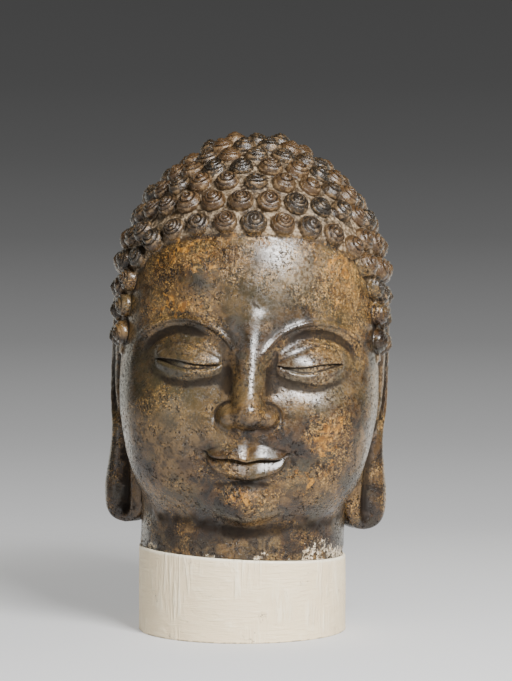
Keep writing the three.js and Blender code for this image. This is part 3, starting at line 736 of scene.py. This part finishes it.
dirt = stone.most(stone.most(speck, blot), stone.most(hollow_dirt_and_shade, stone.read("crack")))
dull = stone.most(stone.most(dusty, chip), stone.most(stone.times(bare_patch, 0.5), stone.times(lock, 0.15)))
rough = stone.plus(stone.ramp(fine, 0.4, 0.6, 0.17, 0.31), stone.times(stone.most(dull, dirt), 0.38))
stone.put(stone.shader.inputs["Roughness"], rough)
shine = stone.less(0.55, stone.times(stone.most(dirt, stone.most(dull, shaded_groove)), 0.4))
stone.put(stone.shader.inputs["Specular IOR Level"], shine)
grain = stone.plus(stone.times(fine, 0.3), stone.times(stone.cloud(520, 3, 0.6), 0.16))
grain = stone.plus(grain, stone.times(stone.times(stone.cloud(120, 6, 0.75), lock), 1.6))
grain = stone.less(grain, stone.times(stone.most(speck, stone.times(blot, 0.5)), 0.4))
grain = stone.less(grain, stone.times(stone.most(bare_patch, stone.times(fleck, 0.5)), 0.2))
grain = stone.less(grain, stone.times(shaded_groove, 0.9))
stone.put(stone.shader.inputs["Normal"], stone.bump(grain, 0.001, 0.7))
stone.shader.inputs["IOR"].default_value = 1.5
head.data.materials.clear()
head.data.materials.append(stone.material)
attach(head, "root")
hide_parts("head")

# ------------------------------------------------------------------ the neck mount
# A round block turned to the neck's width, its top cut on a slant to fit the break and its lip eased. It is
# filled, brushed with thick cream paint, and stands flat on its underside.
LIP = 0.0022
drum = bmesh.new()
outline = [(MOUNT_RADIUS - 0.0012, 0.0), (MOUNT_RADIUS, 0.0012)]
outline += [(MOUNT_RADIUS, MOUNT_HEIGHT * share) for share in (0.02, *np.linspace(0.04, 0.96, 24))]
for quarter in np.linspace(0, math.pi / 2, 5):
    inset, drop = LIP * (1 - math.cos(quarter)), LIP * (1 - math.sin(quarter))
    outline.append((MOUNT_RADIUS - inset, MOUNT_HEIGHT - drop))
outline += [(MOUNT_RADIUS * share, MOUNT_HEIGHT) for share in (0.9, 0.6, 0.2)]
chain = [drum.verts.new((radius, 0, up)) for radius, up in outline]
for lower, upper in zip(chain, chain[1:]):
    drum.edges.new((lower, upper))
bmesh.ops.spin(
    drum,
    geom=drum.verts[:] + drum.edges[:],
    cent=(0, 0, 0),
    axis=(0, 0, 1),
    angle=math.tau,
    steps=160,
    use_merge=True,
)
bmesh.ops.remove_doubles(drum, verts=drum.verts, dist=1e-6)
bmesh.ops.holes_fill(drum, edges=[edge for edge in drum.edges if edge.is_boundary], sides=0)
slope = math.tan(break_slope)
for vertex in drum.verts:
    radius = math.hypot(vertex.co.x, vertex.co.y)
    up = vertex.co.z / MOUNT_HEIGHT
    if 0.01 < up and radius > MOUNT_RADIUS * 0.95:
        wave = noise.noise(Vector((vertex.co.x * 14, vertex.co.y * 14, vertex.co.z * 22)))
        inset = 0.0004 + 0.0004 * wave
        vertex.co.x *= 1 - inset / radius
        vertex.co.y *= 1 - inset / radius
    vertex.co.z -= slope * vertex.co.x * max(0, up)
    vertex.co += mount_axis + Vector((0, 0, mount_low.z))
bmesh.ops.recalc_face_normals(drum, faces=drum.faces)
for face in drum.faces:
    face.smooth = True
mount_mesh = bpy.data.meshes.new("neck_drum")
drum.to_mesh(mount_mesh)
drum.free()
paint_edges = {"lip": [], "foot_crack_and_shade": []}
for vertex in mount_mesh.vertices:
    across = vertex.co - mount_axis
    up = (across.z - mount_low.z) / (MOUNT_HEIGHT - slope * across.x)
    paint_edges["lip"].append(fade(0.965, 0.99, up))
    # a broken dark line round the foot: cracks in the paint and painted shadow of the joint
    paint_edges["foot_crack_and_shade"].append(fade(0.02, 0.008, up))
for name, values in paint_edges.items():
    mount_mesh.attributes.new(name, "FLOAT", "POINT").data.foreach_set("value", np.array(values, np.float32))
mount = bpy.data.objects.new("neck_drum", mount_mesh)
bpy.context.scene.collection.objects.link(mount)

paint = Nodes("cream_paint")
level_strokes = paint.strokes((30, 30, 260))
upright_strokes = paint.strokes((170, 170, 16))
where_upright = paint.ramp(paint.cloud(13, 2), 0.48, 0.62)
strokes = paint.plus(
    paint.times(paint.times(paint.ramp(level_strokes, 0.35, 0.7), paint.less(1.15, where_upright)), 0.26),
    paint.times(paint.times(paint.ramp(upright_strokes, 0.4, 0.7), where_upright), 0.75),
)
strokes = paint.plus(strokes, paint.times(paint.cloud(26, 4, 0.6, 1.0), 1.1))
colour = paint.mix(paint.ramp(strokes, 0.6, 1.3), (0.86, 0.7, 0.45), (0.97, 0.84, 0.6))
colour = paint.mix(paint.times(paint.ramp(paint.cloud(7, 3), 0.5, 0.7), 0.4), colour, (0.78, 0.61, 0.37))
wander = paint.reckon("ABSOLUTE", paint.waver(1, 14, 5, 0.65), 0)
hairline = paint.times(paint.ramp(wander, 0.004, 0.001), paint.ramp(paint.cloud(24, 3), 0.57, 0.62))
lip = paint.read("lip")
# Round the foot, cracks in the paint and painted shadow of the joint darken the cream.
foot_crack_and_shade = paint.times(paint.read("foot_crack_and_shade"), paint.ramp(paint.cloud(60, 3), 0.47, 0.55))
colour = paint.mix(paint.times(lip, 0.8), colour, (0.97, 0.89, 0.7))
colour = paint.mix(paint.times(paint.most(hairline, foot_crack_and_shade), 0.65), colour, (0.16, 0.11, 0.07))
paint.put(paint.shader.inputs["Base Color"], colour)
paint.put(paint.shader.inputs["Roughness"], paint.ramp(strokes, 0.5, 1.4, 0.42, 0.6))
paint.put(paint.shader.inputs["Normal"], paint.bump(paint.less(strokes, hairline), 0.0022, 0.8))
mount.data.materials.append(paint.material)
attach(mount, "root")
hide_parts("neck_mount")

# ------------------------------------------------------------------ the studio
# A pale floor that fades into a backdrop, dark above and light below. A large soft key light hangs above and
# to the right, a tall soft panel stands behind on each side, and a weak light fills in from the left.
ground = bmesh.new()
bmesh.ops.create_circle(ground, cap_ends=True, cap_tris=True, segments=96, radius=2.2)
floor_mesh = bpy.data.meshes.new("floor")
ground.to_mesh(floor_mesh)
ground.free()
floor = bpy.data.objects.new("floor", floor_mesh)
floor.location = (mount_axis.x, mount_axis.y, mount_low.z - 0.0002)
bpy.context.scene.collection.objects.link(floor)
pale = Nodes("pale_floor")
away = pale.tree.nodes.new("ShaderNodeVectorMath")
away.operation = "LENGTH"
pale.put(away.inputs[0], pale.place())
pale.shader.inputs["Base Color"].default_value = (0.5, 0.5, 0.5, 1)
pale.shader.inputs["Emission Color"].default_value = (1, 1, 1, 1)
pale.shader.inputs["Emission Strength"].default_value = 0.36
pale.shader.inputs["Roughness"].default_value = 0.9
pale.put(pale.shader.inputs["Alpha"], pale.ramp(away.outputs["Value"], 0.7, 2.0, 1, 0))
floor.data.materials.append(pale.material)

world = bpy.data.worlds.new("studio")
bpy.context.scene.world = world
world.use_nodes = True
nodes, links = world.node_tree.nodes, world.node_tree.links
look = nodes.new("ShaderNodeTexCoord")
direction = nodes.new("ShaderNodeSeparateXYZ")
links.new(look.outputs["Generated"], direction.inputs[0])
shade = nodes.new("ShaderNodeValToRGB")
stops = shade.color_ramp.elements
stops[0].color = (0.9, 0.9, 0.9, 1)
stops[1].color = (0.04, 0.04, 0.04, 1)
low_greys = {0.43: 0.9, 0.453: 0.64, 0.474: 0.395, 0.5: 0.22}
high_greys = {0.527: 0.126, 0.548: 0.09, 0.568: 0.07, 0.6: 0.06}
for rise, grey in (low_greys | high_greys).items():
    stops.new(rise).color = (grey, grey, grey, 1)
half = nodes.new("ShaderNodeMath")
half.operation = "MULTIPLY_ADD"
half.inputs[1].default_value = 0.5
half.inputs[2].default_value = 0.5
links.new(direction.outputs["Z"], half.inputs[0])
links.new(half.outputs[0], shade.inputs["Fac"])
links.new(shade.outputs["Color"], nodes["Background"].inputs["Color"])


def soft_light(name, place, aim, size, power, colour=(1, 1, 1)):
    lamp = bpy.data.lights.new(name, "AREA")
    lamp.color = colour
    lamp.shape = "RECTANGLE"
    lamp.size, lamp.size_y = size
    lamp.energy = power
    holder = bpy.data.objects.new(name, lamp)
    holder.location = place
    holder.rotation_euler = (Vector(aim) - Vector(place)).to_track_quat("-Z", "Y").to_euler()
    bpy.context.scene.collection.objects.link(holder)


face_middle = Vector((0, 0, 0.45))
WARM = (1, 0.97, 0.84)
soft_light("key", (1.05, -2.15, 1.85), face_middle, (1.0, 1.0), 225)
soft_light("left_panel", (-1.35, 1.65, 0.6), face_middle, (1.2, 2.0), 8, WARM)
soft_light("right_panel", (1.35, 1.65, 0.6), face_middle, (1.2, 2.0), 11, WARM)
soft_light("fill", (-1.9, -2.2, 0.9), face_middle, (1.2, 1.4), 11)

CAMERA_DISTANCE = 3.04
CAMERA_HEIGHT = 0.461
CAMERA_SHIFT = 0.022  # a little to the right of the mount's axis
camera = bpy.data.cameras.new("camera")
camera.lens = 100
camera.sensor_width = 36
camera.clip_end = 100
tripod = bpy.data.objects.new("camera", camera)
tripod.location = mount_axis + Vector((CAMERA_SHIFT, -CAMERA_DISTANCE, mount_low.z + CAMERA_HEIGHT))
tripod.rotation_euler = (math.pi / 2, 0, 0)
bpy.context.scene.collection.objects.link(tripod)
bpy.context.scene.camera = tripod
